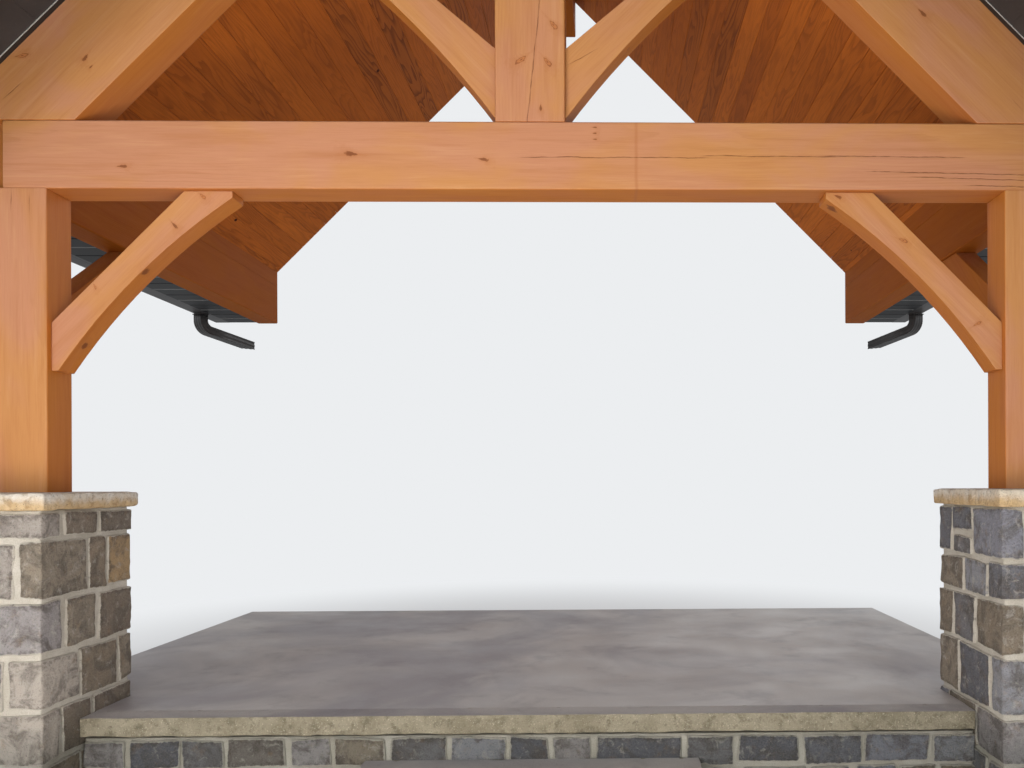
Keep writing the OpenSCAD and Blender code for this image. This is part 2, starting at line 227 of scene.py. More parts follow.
class Stonework:
    """Blocks and mortar as one mesh, kept inside a limit box. Its points hold the tone of their block
    and their distance from its rim."""

    def __init__(self, draw, *limit):
        self.bm = bmesh.new()
        self.bm.verts.layers.float.new("tone")
        self.bm.verts.layers.float.new("rim")
        self.draw = draw
        self.limit = limit

    def add_block(self, low, high, radius=0.015, cell=0.026, relief=0.01, skew=0.009, slot=0):
        """A block with rounded, uneven edges and a rough skin."""
        low, high = Vector(low), Vector(high)
        centre, half = (low + high) / 2, (high - low) / 2
        radius = min(radius * self.draw.uniform(0.7, 1.5), *(0.8 * h for h in half))
        # Only the sides that don't lie in the wall's own faces meet a joint, and the others keep to them
        sides = itertools.product(range(3), (0, 1))
        joints = [(a, s) for a, s in sides if abs((low, high)[s][a] - self.limit[s][a]) > 1e-4]
        corners = {}
        for corner in itertools.product((0, 1), repeat=3):
            offset = Vector(self.draw.uniform(-skew, skew) for _ in range(3))
            for a, s in enumerate(corner):
                if (a, s) not in joints:
                    offset[a] = abs(offset[a]) if s else -abs(offset[a])
            corners[corner] = offset
        tone = self.draw.random()
        shift = Vector(self.draw.uniform(-50, 50) for _ in range(3))
        tone_layer = self.bm.verts.layers.float["tone"]
        rim_layer = self.bm.verts.layers.float["rim"]
        verts = {}
        for index, flat in shell_points(half, radius, cell):
            share = [0.5 + 0.5 * c / h for c, h in zip(flat, half)]
            push = Vector()
            for corner, offset in corners.items():
                push += offset * math.prod(s if c else 1 - s for s, c in zip(share, corner))
            core = Vector(max(radius - h, min(h - radius, c)) for c, h in zip(flat, half))
            out = (flat - core).normalized()
            at = centre + core + out * radius + push
            swell = sum(part * noise.noise(at * size + shift) for part, size in ROUGHNESS)
            at += out * (min(1, max(0, 0.55 + 0.6 * swell)) - 1) * relief
            vert = self.bm.verts.new([max(a, min(b, c)) for a, b, c in zip(*self.limit, at)])
            vert[tone_layer] = tone
            rims = [(half[a] + (-flat[a] if s else flat[a])) / RIM_REACH for a, s in joints]
            vert[rim_layer] = min([1.0] + rims)
            verts[index] = vert
        self.add_skin(verts, slot)

    def add_skin(self, verts, slot):
        """The six sides of a block, whose points are known by their places in its grid."""
        last = max(verts)
        for axis in range(3):
            u, w = [a for a in range(3) if a != axis]
            for end in (0, last[axis]):
                for i, j in itertools.product(range(last[u]), range(last[w])):
                    ring = []
                    for di, dj in ((0, 0), (1, 0), (1, 1), (0, 1)):
                        key = [0, 0, 0]
                        key[axis], key[u], key[w] = end, i + di, j + dj
                        ring.append(verts[tuple(key)])
                    if (end == 0) == (axis != 1):
                        ring.reverse()
                    face = self.bm.faces.new(ring)
                    face.material_index = slot
                    face.smooth = True

    def lay_run(self, start, end, face, axis, inward, low_z, high_z, usual=0.2, broken=0.15):
        """Blocks in one course from START to END along an axis, their backs sunk into the core."""
        at = start
        count = max(1, round((end - start + JOINT) / (usual + JOINT)))
        for length in split_run(end - start, [self.draw.uniform(0.6, 1.4) for _ in range(count)]):
            levels = [(low_z, high_z)]
            if high_z - low_z > 0.17 and self.draw.random() < broken:
                cut = low_z + (high_z - low_z) * self.draw.uniform(0.35, 0.65)
                levels = [(low_z, cut - JOINT / 2), (cut + JOINT / 2, high_z)]
            for low, high in levels:
                a, b = [0.0, 0.0, low], [0.0, 0.0, high]
                a[axis], b[axis] = at, at + length
                a[1 - axis], b[1 - axis] = sorted((face, face + inward * BLOCK_DEPTH))
                self.add_block(a, b)
            at += length + JOINT


def shell_points(half, radius, cell):
    """The outer points of a block's grid, closer together at its edges, with their places in it."""
    lines = []
    for h in half:
        inner = h - radius
        count = max(1, round(2 * inner / cell))
        middle = [-inner + 2 * inner * i / count for i in range(count + 1)]
        lines.append([-h, -h + radius * 0.4, *middle, h - radius * 0.4, h])
    last = [len(line) - 1 for line in lines]
    for index in itertools.product(*(range(len(line)) for line in lines)):
        if any(i in (0, n) for i, n in zip(index, last)):
            yield index, Vector(line[i] for line, i in zip(lines, index))


def split_run(length, shares):
    """Lengths in these shares, with joints between them, that fill a run."""
    free = length - JOINT * (len(shares) - 1)
    return [free * share / sum(shares) for share in shares]


def course_levels(low, high, shares):
    """Bottom and top of each course of a wall, with bed joints between them."""
    levels, at = [], low
    for height in split_run(high - low, shares):
        levels.append((at, at + height))
        at += height + JOINT
    return levels


def stone_pier(node, seed, courses, usual, broken):
    """A pier of corner blocks and filling blocks round a core of mortar."""
    low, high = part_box(node)
    draw = random.Random(seed)
    pier = Stonework(draw, low, high)
    back = Vector((MORTAR_BACK, MORTAR_BACK, -CORE_PAST))
    pier.add_block(low + back, high - back, **PIER_CORE)
    for course, (low_z, high_z) in enumerate(course_levels(low.z, high.z - JOINT / 2, courses)):
        ends = {}
        for side_x, side_y in itertools.product((0, 1), repeat=2):
            long_x = (course + side_x + side_y) % 2 == 0
            sizes = [draw.uniform(0.22, 0.33), draw.uniform(0.1, 0.19)]
            size_x, size_y = sizes if long_x else sizes[::-1]
            a = [high.x - size_x if side_x else low.x, high.y - size_y if side_y else low.y, low_z]
            b = [high.x if side_x else low.x + size_x, high.y if side_y else low.y + size_y, high_z]
            pier.add_block(a, b)
            ends[side_x, side_y] = (a, b)
        for side, axis in itertools.product((0, 1), repeat=2):
            first, second = ((side, 0), (side, 1)) if axis else ((0, side), (1, side))
            start, end = ends[first][1][axis] + JOINT, ends[second][0][axis] - JOINT
            face = (high if side else low)[1 - axis]
            pier.lay_run(start, end, face, axis, -1 if side else 1, low_z, high_z, usual, broken)
    return pier


def mesh_of(name, bm):
    """A mesh from a finished bmesh."""
    mesh = bpy.data.meshes.new(name)
    bm.to_mesh(mesh)
    bm.free()
    return mesh


def hand_in(name, mesh, materials, node):
    """A piece of the porch that stands for a CAD node, with its material slot."""
    piece = new_piece(name, mesh, *materials)
    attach(piece, "root")
    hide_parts(node)


def finish_stonework(work, name, node, first=0.0, last=1.0):
    """Hands in stonework whose blocks have tones from FIRST to LAST in the list."""
    layer = work.bm.verts.layers.float["tone"]
    for vert in work.bm.verts:
        vert[layer] = first + (last - first) * vert[layer]
    hand_in(name, mesh_of(name, work.bm), (stone, mortar), node)


def noise_of(vector, scale, detail=2.0, roughness=0.5, warp=0.0):
    """The value of a noise texture, about 0 to 1."""
    inputs = {"Vector": vector, "Scale": scale, "Detail": detail, "Roughness": roughness}
    inputs["Distortion"] = warp
    return field(vector.tree, "ShaderNodeTexNoise", inputs, output="Fac")


def attribute(place, name):
    """A value that the mesh holds at each point."""
    return field(place.tree, "ShaderNodeAttribute", output="Fac", attribute_name=name)


def parts(vector):
    """The X, Y and Z of a vector."""
    split = add_node(vector.tree, "ShaderNodeSeparateXYZ", {0: vector})
    return [Field(socket) for socket in split.outputs]


def joined(*values):
    """A vector with these values as its X, Y and Z."""
    return field(tree_of(*values), "ShaderNodeCombineXYZ", dict(enumerate(values)))


def stretched(vector, factors):
    """Coordinates multiplied along each axis."""
    return field(vector.tree, "ShaderNodeVectorMath", {0: vector, 1: factors}, operation="MULTIPLY")


def shifted(vector, offset):
    """Coordinates moved by an offset."""
    return field(vector.tree, "ShaderNodeVectorMath", {0: vector, 1: offset}, operation="ADD")


def mixed(share, first, second, blend="MIX"):
    """A colour between two, by a share from 0 to 1."""
    inputs = {"Factor": share, 6: first, 7: second}
    tree = tree_of(share, first, second)
    return field(tree, "ShaderNodeMix", inputs, output=2, data_type="RGBA", blend_type=blend)


def veiled(colour, *veils):
    """A field of colour, or a colour in screen values, under veils of other colours. Each veil is
    the noise that spreads it, the values of that noise where it is missing and full, its share there
    and its own colour in screen values."""
    if not isinstance(colour, Field):
        colour = srgb(*colour)
    for spread, missing, full, share, veil in veils:
        colour = mixed(ramp(spread, missing, full) * share, colour, srgb(*veil))
    return colour


def add_bump(shader, height, depth):
    """Bump of the given depth in metres from a height of about 0 to 1."""
    inputs = {"Height": height, "Strength": 1.0, "Distance": depth}
    feed(shader, "Normal", field(height.tree, "ShaderNodeBump", inputs))


def soiled(place, colour):
    """Darker and greyer where a wall stands damp near the ground."""
    edge = noise_of(place, 6, detail=4, roughness=0.6)
    share = ramp(edge * 0.3 + parts(place)[2], 0.68, 0.42)
    return mixed(share, colour, mixed(1.0, colour, srgb(196, 200, 200), "MULTIPLY"))


# Block tones, the warmer and lighter first and the cooler and bluer last. The share of the list that each
# wall takes is painted light: sunlit warmth for the left pier, shade for the right pier, the foundation
# and the step.
STONE_TONES = [
    (172, 164, 157), (130, 118, 105), (108, 97, 86), (190, 181, 171), (144, 130, 113), (122, 112, 101),
    (160, 151, 143), (180, 153, 116), (138, 126, 110), (162, 157, 157), (148, 137, 122), (126, 119, 113),
    (134, 136, 146), (114, 115, 122), (150, 151, 157), (124, 123, 126), (106, 107, 114), (141, 142, 152),
]
stone, shader, place = new_material("split_stone", 0.85, 0.3)
tone = attribute(place, "tone")
tones = add_node(place.tree, "ShaderNodeValToRGB", {"Fac": tone})
tones.color_ramp.interpolation = "CONSTANT"
for i, shade in enumerate(STONE_TONES):
    start = i / len(STONE_TONES)
    element = tones.color_ramp.elements[i] if i < 2 else tones.color_ramp.elements.new(start)
    element.position = start
    element.color = srgb(*shade)
inside = shifted(place, stretched(joined(tone, tone, tone), (17.0, 31.0, 23.0)))
grit = noise_of(inside, 150, detail=4, roughness=0.7)
colour = veiled(
    Field(tones.outputs[0]),
    (noise_of(inside, 9, detail=6, roughness=0.65, warp=0.8), 0.44, 0.66, 0.7, (88, 81, 75)),
    (noise_of(inside, 16, detail=5, roughness=0.65), 0.54, 0.72, 0.35, (146, 118, 88)),
    (noise_of(inside, 20, detail=7, roughness=0.72, warp=0.6), 0.53, 0.68, 0.55, (190, 185, 177)),
    (grit, 0.5, 0.68, 0.25, (168, 160, 150)),
    (grit, 0.46, 0.34, 0.4, (64, 56, 48)),
)
# Towards the rim a block is darker in patches, partly chipped stone and partly painted shade by the
# joint, and mortar is smeared over its edge
chips = noise_of(inside, 40, detail=6, roughness=0.7)
rim = noise_of(place, 30, detail=5, roughness=0.65) * 1.1 + attribute(place, "rim")
colour = mixed(ramp(rim, 1.4, 0.95) * ramp(chips, 0.42, 0.6) * 0.5, colour, srgb(70, 61, 53))
colour = veiled(colour, (rim, 0.84, 0.58, 1.0, (194, 188, 177)))
feed(shader, "Base Color", soiled(place, colour))
add_bump(shader, chips * 1.6 + grit * 0.3, 0.014)

mortar, shader, place = new_material("sandy_mortar", 0.95, 0.2)
sand = noise_of(place, 240, detail=3, roughness=0.7)
colour = veiled(
    (184, 178, 166),
    (noise_of(place, 5, detail=5, roughness=0.6), 0.35, 0.65, 1.0, (204, 199, 189)),
    (sand, 0.45, 0.7, 0.45, (150, 138, 120)),
)
feed(shader, "Base Color", soiled(place, colour))
add_bump(shader, sand + noise_of(place, 50, detail=4), 0.004)

LEFT_COURSES = (0.25, 0.2, 0.205, 0.21, 0.23, 0.105)
RIGHT_COURSES = (0.2, 0.17, 0.22, 0.19, 0.14, 0.2)
# The left pier takes the warm, light tones as painted sunlight, the right pier the cool, blue ones as
# painted shade
left_pier = stone_pier("pier_left", 11, LEFT_COURSES, 0.3, 0.0)
finish_stonework(left_pier, "pier_left_stonework", "pier_left", 0.0, 0.65)
right_pier = stone_pier("pier_right", 29, RIGHT_COURSES, 0.2, 0.3)
finish_stonework(right_pier, "pier_right_stonework", "pier_right", 0.45, 1.0)


# Foundation walls and step riser: the same split blocks in two courses, laid along the front between
# the piers and back along both sides, and in one course under the step's cast tread.
FOUNDATION_T = 0.2
FOUNDATION_COURSES = (0.15, 0.13)
FOOT_Z = 0.004
WALL_CORE = {"radius": 0.008, "cell": 0.05, "skew": 0, "slot": 1}


def stone_wall(work, start, end, face, axis, inward, top):
    """One face of a wall from the ground up, with its core of mortar behind it."""
    a, b = [0.0, 0.0, 0.0], [0.0, 0.0, top]
    a[axis], b[axis] = start, end
    a[1 - axis], b[1 - axis] = sorted((face, face + inward * FOUNDATION_T))
    work.limit = (tuple(a), tuple(b))
    core = a if inward > 0 else b
    core[1 - axis] += inward * MORTAR_BACK
    a[2] -= CORE_PAST
    b[2] += CORE_PAST
    work.add_block(a, b, relief=0.004, **WALL_CORE)
    for low_z, high_z in course_levels(FOOT_Z, top - JOINT / 2, FOUNDATION_COURSES):
        work.lay_run(start, end, face, axis, inward, low_z, high_z, 0.25)


draw = random.Random(5)
foundation = Stonework(draw)
low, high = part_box("foundation_walls")
inner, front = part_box("pier_right")[0].x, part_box("pier_right")[1].y
stone_wall(foundation, -inner, inner, low.y, 0, 1, high.z)
stone_wall(foundation, front, high.y, low.x, 1, 1, high.z)
stone_wall(foundation, front, high.y, high.x, 1, -1, high.z)
# The foundation takes the cool, blue tones as painted shade
finish_stonework(foundation, "foundation_stonework", "foundation_walls", 0.45, 1.0)

TREAD_T, TREAD_LIP, TREAD_BED = 0.06, 0.025, 0.008
CORNER_W, CORNER_D = 0.2, 0.13
low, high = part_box("entry_step")
riser_low = low + Vector((TREAD_LIP, TREAD_LIP, 0))
riser_high = Vector((high.x - TREAD_LIP, high.y, high.z - TREAD_T))
step = Stonework(draw, riser_low, riser_high)
core_low = riser_low + Vector((MORTAR_BACK, MORTAR_BACK, 0))
step.add_block(core_low, riser_high - Vector((MORTAR_BACK, 0, 0)), relief=0.005, **WALL_CORE)
riser_top = riser_high.z - TREAD_BED
side_start = riser_low.y + CORNER_D
for face, inward in ((riser_low.x, 1), (riser_high.x, -1)):
    ends = sorted((face, face + inward * CORNER_W))
    step.add_block((ends[0], riser_low.y, 0), (ends[1], side_start, riser_top))
    step.lay_run(side_start + JOINT, riser_high.y, face, 1, inward, 0, riser_top)
front_start, front_end = riser_low.x + CORNER_W + JOINT, riser_high.x - CORNER_W - JOINT
step.lay_run(front_start, front_end, riser_low.y, 0, 1, 0, riser_top)
# The step's riser takes the cool, blue tones as painted shade
finish_stonework(step, "step_riser_stonework", "entry_step", 0.45, 1.0)


# Packed fill: gravel under the slab, which shows only at the back, where the platform is cut off.
def spots_of(vector, scale):
    """Distance from the nearest of many scattered points."""
    inputs = {"Vector": vector, "Scale": scale}
    return field(vector.tree, "ShaderNodeTexVoronoi", inputs, output="Distance")


def coat(node, material):
    """Gives a CAD node that is shown as it is its material."""
    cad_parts[node].data.materials.clear()
    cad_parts[node].data.materials.append(material)


gravel, shader, place = new_material("packed_gravel", 0.95)
pebbles = spots_of(place, 55.0)
colour = veiled(
    (128, 121, 112),
    (noise_of(place, 30, detail=3), 0.4, 0.6, 1.0, (168, 160, 148)),
    (pebbles, 0.35, 0.7, 1.0, (84, 76, 66)),
)
feed(shader, "Base Color", colour)
add_bump(shader, ramp(pebbles, 0.8, 0.1), 0.008)
coat("platform_fill", gravel)


# Floor slab, cast edge, tread and pier caps: the floor is smooth trowelled concrete with cloudy
# stains, and the edges are cast stone with a rough, rock-like face.
def eased(node, width, segments=2, sharp=math.radians(28)):
    """A copy of a CAD node with its points merged and its edges rounded."""
    bm = bmesh.new()
    bm.from_mesh(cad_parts[node].data)
    bmesh.ops.remove_doubles(bm, verts=bm.verts, dist=1e-5)
    bmesh.ops.dissolve_limit(bm, angle_limit=math.radians(1), verts=bm.verts, edges=bm.edges)
    for face in bm.faces:
        face.smooth = any(math.radians(1) < edge.calc_face_angle(0) < sharp for edge in face.edges)
    edges = [edge for edge in bm.edges if edge.calc_face_angle(0) >= sharp]
    settings = {"offset": width, "segments": segments, "profile": 0.5, "affect": "EDGES"}
    rounded = set(bmesh.ops.bevel(bm, geom=edges, clamp_overlap=True, **settings)["faces"])
    for face in rounded:
        face.smooth = True
        for edge in face.edges:
            edge.smooth = rounded.issuperset(edge.link_faces)
    return mesh_of(node, bm)


def trowelled(place):
    """The colour of trowelled concrete with cloudy stains and fine sand."""
    return veiled(
        (152, 148, 151),
        (noise_of(place, 0.9, detail=5, roughness=0.55, warp=0.6), 0.36, 0.64, 1.0, (184, 180, 177)),
        (noise_of(place, 3.5, detail=6, roughness=0.6, warp=0.3), 0.5, 0.75, 0.5, (130, 125, 128)),
        (noise_of(place, 320, detail=2, roughness=0.7), 0.55, 0.7, 0.3, (112, 106, 102)),
    )


concrete, shader, place = new_material("trowelled_concrete", 0.6, 0.35)
feed(shader, "Base Color", trowelled(place))
polish = {"Value": noise_of(place, 2.2, detail=5, roughness=0.6), "From Min": 0.3, "From Max": 0.7}
polish |= {"To Min": 0.45, "To Max": 0.7}
feed(shader, "Roughness", field(place.tree, "ShaderNodeMapRange", polish))
add_bump(shader, noise_of(place, 14, detail=6, roughness=0.6), 0.0025)
SLAB_EASE = 0.0008
hand_in("floor_slab", eased("porch_slab", SLAB_EASE, 1), [concrete], "porch_slab")


def normal_of(place):
    """The direction that the surface faces."""
    return field(place.tree, "ShaderNodeNewGeometry", output="Normal")


def cast_stone(name, face, shade, stain):
    """Cast stone in two tones, with stains, light grains and dark pits."""
    material, shader, place = new_material(name, 0.85)
    blot = noise_of(place, 22, detail=5, roughness=0.65)
    grain = noise_of(place, 150, detail=4, roughness=0.7)
    hollow = noise_of(place, 55, detail=5, roughness=0.7, warp=0.5)
    colour = veiled(
        face,
        (noise_of(place, 7, detail=5, roughness=0.6, warp=0.4), 0.36, 0.66, 1.0, shade),
        (blot, 0.5, 0.66, 0.75, stain),
        (grain, 0.56, 0.7, 0.55, (216, 208, 190)),
        (spots_of(place, 70.0), 0.2, 0.08, 0.6, (92, 82, 64)),
        (hollow, 0.56, 0.68, 0.5, (104, 92, 76)),
    )
    add_bump(shader, grain * 0.3 + blot - hollow, 0.01)
    return material, shader, place, colour


CAP_TONES = ((224, 219, 211), (206, 194, 176), (172, 152, 124))
cap_stone, shader, place, colour = cast_stone("cap_stone", *CAP_TONES)
# The lower half of each cap is stained a weak ochre
edge = noise_of(place, 14, detail=5, roughness=0.65)
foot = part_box("pier_cap_left")[0].z
rusty = ramp(edge * -0.07 + parts(place)[2], foot + 0.025, foot - 0.02)
colour = mixed(rusty, colour, mixed(1.0, colour, srgb(238, 214, 176), "MULTIPLY"))
feed(shader, "Base Color", colour)
EDGE_TONES = ((145, 138, 119), (125, 118, 99), (98, 91, 73))
edge_stone, shader, place, colour = cast_stone("edge_stone", *EDGE_TONES)
up = parts(normal_of(place))[2]
feed(shader, "Base Color", mixed(ramp(up, 0.75, 0.95), colour, trowelled(place)))

# A cast edge is longer at the back and top than its box, which cuts both flat, flush with the slab
TRIMMED = Vector((0, 0.02, 0.009))
ROCK_FACE = {"radius": 0.013, "relief": 0.009, "skew": 0.001}
NOSING_LIP_Z = 0.012
low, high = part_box("slab_nosing")
nosing = Stonework(draw, low, high)
nosing.add_block(low + Vector((0, 0, NOSING_LIP_Z)), high + TRIMMED, cell=0.018, **ROCK_FACE)
hand_in("floor_edge", mesh_of("floor_edge", nosing.bm), [edge_stone], "slab_nosing")

low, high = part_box("entry_step")
tread_low = Vector((low.x, low.y, high.z - TREAD_T))
tread = Stonework(draw, tread_low, high)
tread.add_block(tread_low, high + TRIMMED, cell=0.022, **ROCK_FACE)
hand_in("step_tread", mesh_of("step_tread", tread.bm), [edge_stone], "entry_step")

SIDES = ("left", "right")
CAP_PROUD = Vector((0.005, 0.005, 0.004))
CAP_FACE = {"radius": 0.017, "cell": 0.014, "relief": 0.011, "skew": 0.003}
for side in SIDES:
    node = "pier_cap_" + side
    low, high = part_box(node)
    cap = Stonework(draw, low, high)
    cap.add_block(low - CAP_PROUD, high + CAP_PROUD, **CAP_FACE)
    hand_in(node + "_stone", mesh_of("cap", cap.bm), [cap_stone], node)


# Timber frame: sawn softwood in one warm stain, with painted shade on the members under the roof and on
# faces turned away from the front, eased edges, a few knots and drying checks. The grain runs along each
# member, in rings about a pith that lies outside the timber.
EASE = 0.0025


def grained(local, across, along, axis=2, **settings):
    """Noise that is drawn out along the grain."""
    factors = [along if i == axis else across for i in range(3)]
    return noise_of(stretched(local, factors), 1.0, **settings)


def branch_knots(place, turned, apart, facing):
    """Distance from scattered knots, one at their rims. Branches run out from the pith, so these are
    cells in angle and height, and the front faces have none."""
    x, y, z = parts(turned)
    branch = shifted(joined(compute("ARCTAN2", y, x) * 0.7, z * 0.8), apart)
    bend = field(place.tree, "ShaderNodeTexNoise", {"Vector": place, "Scale": 45.0}, output="Color")
    inputs = {"Vector": shifted(branch, stretched(bend, (0.012, 0.012, 0.0))), "Scale": 3.0}
    cells = add_node(place.tree, "ShaderNodeTexVoronoi", inputs, voronoi_dimensions="2D").outputs
    chance, breadth, _ = parts(Field(cells["Color"]))
    missing = compute("MAXIMUM", compute("LESS_THAN", facing, -0.5), compute("GREATER_THAN", chance, 0.2))
    return missing * 100.0 + Field(cells["Distance"]) / (breadth * 0.035 + 0.015)


def front_knot(turned, spot, heading, reach):
    """Distance from a knot shaped like a drop, one at its rim, whose round end lies in the heading."""
    x, y, z = [value - at for value, at in zip(parts(turned), spot)]
    long = (x * heading.x + z * heading.z) / (reach * 2.0)
    taper = compute("MAXIMUM", long * 0.38 + 0.62, 0.2)
    wide = (x * heading.z - z * heading.x) / (taper * reach)
    deep = y / (reach * 1.8)
    return compute("SQRT", long * long + wide * wide + deep * deep)


def late_wood(turned, local, sway, halo):
    """The dark bands of growth rings about the pith, which part round the knots."""
    x, y, _ = parts(turned)
    ripple = grained(local, 16.0, 2.5, detail=3)
    radius = compute("SQRT", x * x + y * y) + sway * 0.07 + ripple * 0.016 + halo * 0.01
    ring = compute("FRACT", radius * 95.0)
    faint = ramp(grained(local, 5.0, 1.2, detail=3), 0.44, 0.7)
    return ramp(ring, 0.3, 0.88) * ramp(ring, 1.0, 0.92) * (faint * 0.85 + 0.15)


def stain_on(local, late, fibre, shade, facing):
    """The colour of the stained wood, patchy over early and late wood, darkened by SHADE and on the faces
    turned away from the front as painted shade.
    """
    drift = grained(local, 4.0, 1.6, detail=3, warp=0.6)
    streak = grained(local, 12.0, 1.0, detail=5, roughness=0.6, warp=0.3)
    smudge = grained(local, 34.0, 2.2, detail=4, roughness=0.55, warp=0.4)
    colour = veiled(
        (182, 128, 79),
        (drift, 0.35, 0.65, 1.0, (180, 126, 95)),
        (streak, 0.5, 0.8, 0.5, (162, 104, 62)),
        (streak, 0.42, 0.25, 0.35, (195, 148, 109)),
    )
    colour = veiled(
        mixed(late * 0.13, colour, srgb(142, 87, 46)),
        (smudge, 0.52, 0.72, 0.28, (160, 100, 60)),
        (smudge, 0.45, 0.3, 0.2, (198, 151, 111)),
        (fibre, 0.45, 0.75, 0.17, (140, 87, 48)),
    )
    # SHADE multiplies the colour of the whole member: painted shade for the members under the roof
    colour = mixed(1.0, colour, shade, "MULTIPLY")
    # Faces turned away from the front are painted darker and deeper in colour, as painted shade
    side_shade = mixed(1.0, colour, srgb(253, 222, 158), "MULTIPLY")
    return mixed(ramp(facing, -0.8, -0.3), colour, side_shade)


def drying_checks(turned, local, ends):
    """Thin dark cracks along the grain: a few scattered, and one between each pair of ends."""
    x, _, z = parts(turned)
    patch = grained(local, 4.0, 1.1, detail=1)
    crack = ramp(abs(grained(local, 9.0, 0.45, detail=3) - 0.5), 0.006, 0.002) * ramp(patch, 0.7, 0.78)
    wander = grained(local, 0.0, 7.0, detail=5, roughness=0.6)
    thin = ramp(grained(local, 0.0, 16.0, detail=3), 0.34, 0.6)
    for first, last in ends:
        lean = (last.x - first.x) / (last.z - first.z)
        middle = z * lean + (first.x - lean * first.z)
        line = ramp(abs(x - middle - wander * 0.018 + 0.009), 0.0026, 0.0008)
        span = ramp(z, first.z, first.z + 0.08) * ramp(z, last.z, last.z - 0.08) * (thin * 0.65 + 0.35)
        crack = compute("MAXIMUM", crack, line * span)
    return crack


def timber_finish(name, seed, pith, front_y, turn, shade, gloss, knots=(), checks=(), bands=()):
    """Stained wood whose grain runs along Z once turned, with growth rings about the pith. Knots,
    checks and water stains start from the front face, and are given in the porch's frame."""
    material, shader, place = new_material(name, 0.55, gloss)
    settings = {"Vector": place, "Location": pith, "Rotation": turn}
    turned = field(place.tree, "ShaderNodeMapping", settings, vector_type="TEXTURE")
    apart = (seed * 3.7, seed * 1.9, seed * 5.3)
    local = shifted(turned, apart)
    unturn = Euler(turn).to_matrix().inverted()
    facing = parts(normal_of(place))[1]

    near = branch_knots(place, turned, apart, facing)
    ragged = noise_of(place, 60, detail=3, roughness=0.5) * 1.5 + 0.25
    cores = []
    for x, z, reach, degrees, depth, filled in knots:
        spot = unturn @ (Vector((x, front_y + depth, z)) - pith)
        heading = Vector((math.sin(math.radians(degrees)), 0, math.cos(math.radians(degrees))))
        reached = front_knot(turned, spot, unturn @ heading, reach) * ragged
        near = compute("MINIMUM", near, reached)
        if filled:
            cores.append(ramp(reached, 0.95, 0.6))
    halo = ramp(near, 3.2, 0.9)

    sway = grained(local, 4.0, 0.8, detail=4)
    late = late_wood(turned, local, sway, halo)
    fibre = grained(local, 240.0, 6.0, detail=3, roughness=0.65)
    colour = stain_on(local, late, fibre, shade, facing)
    for x, reach in bands:
        aside = abs(sway * 0.02 + parts(place)[0] - (x + 0.01))
        colour = veiled(colour, (aside, reach, 0.0, 0.45, (160, 98, 62)))
    colour = mixed(halo * 0.25, colour, srgb(160, 98, 54))
    # A knot is little darker than the wood, with a dark rim where its bark was and a small dark pith,
    # and a filled one is dark all over
    dark = compute("MAXIMUM", ramp(near, 0.55, 0.8) * 0.8, ramp(near, 0.32, 0.1))
    for core in cores:
        dark = compute("MAXIMUM", dark, core)
    knot = mixed(dark, srgb(172, 108, 64), srgb(108, 58, 30))
    colour = mixed(ramp(near, 1.1, 0.8) * 0.8, colour, knot)

    ends = []
    for check in checks:
        pair = [unturn @ Vector((x - pith.x, 0, z - pith.z)) for x, z in (check[:2], check[2:])]
        ends.append(sorted(pair, key=lambda end: end.z))
    crack = drying_checks(turned, local, ends)
    feed(shader, "Base Color", mixed(crack * 0.75, colour, srgb(92, 44, 20)))
    add_bump(shader, fibre * 0.3 - late * 0.35 - crack * 1.6, 0.001)
    return material


UP, ACROSS, BACK, LEANING = (0, 0, 0), (0, math.pi / 2, 0), (-math.pi / 2, 0, 0), (-math.pi / 4, 0, 0)
DOWN_RIGHT, DOWN_LEFT = (0, math.radians(135), 0), (0, math.radians(-135), 0)
MEMBERS = {
    "post_left": UP, "post_right": UP, "king_post": UP, "tie_beam": ACROSS, "ridge_beam": BACK,
    "side_beam_left": BACK, "side_beam_right": BACK, "friezes": BACK,
    "king_strut_left": DOWN_RIGHT, "king_strut_right": DOWN_LEFT,
    "rafter_left": DOWN_LEFT, "rafter_right": DOWN_RIGHT,
    "knee_brace_left": DOWN_LEFT, "knee_brace_right": DOWN_RIGHT,
    "side_brace_left": LEANING, "side_brace_right": LEANING,
}
# Knots: x and z, half the width, heading of the blunt end in degrees from upright, depth behind the
# front face, and whether the knot is filled
KNOTS = {
    "king_post": [
        (0.106, 3.517, 0.015, 140, 0, False), (-0.038, 3.36, 0.016, 232, 0, False),
        (0.079, 3.35, 0.014, 140, 0, False), (0.048, 3.143, 0.008, 180, 0, True),
    ],
    "tie_beam": [
        (-0.801, 2.934, 0.016, 276, 0, True), (-1.816, 2.874, 0.01, 90, 0, True),
        (-0.212, 2.91, 0.011, 100, 0, True), (0.291, 3.056, 0.006, 90, 0, True),
        (0.291, 3.029, 0.005, 90, 0, True), (0.291, 3.002, 0.005, 90, 0, True),
    ],
    "rafter_left": [
        (-2.257, 3.366, 0.014, 80, 0, False), (-1.979, 3.358, 0.011, 215, 0, True),
        (-1.954, 3.318, 0.006, 225, 0, True),
    ],
    "rafter_right": [(1.78, 3.58, 0.012, 135, 0, True)],
    "knee_brace_left": [
        (-1.478, 2.753, 0.011, 130, 0, False), (-1.605, 2.621, 0.01, 140, 0, True),
        (-1.96, 2.344, 0.007, 155, 0, False), (-1.749, 2.416, 0.012, 60, 0.024, True),
        (-2.042, 2.086, 0.011, 40, 0.053, True),
    ],
    "knee_brace_right": [
        (1.4, 2.758, 0.01, 110, 0, True), (1.7, 2.558, 0.012, 110, 0, False),
        (2.04, 2.176, 0.01, 60, 0, False), (1.385, 2.719, 0.014, 120, 0.05, True),
    ],
}
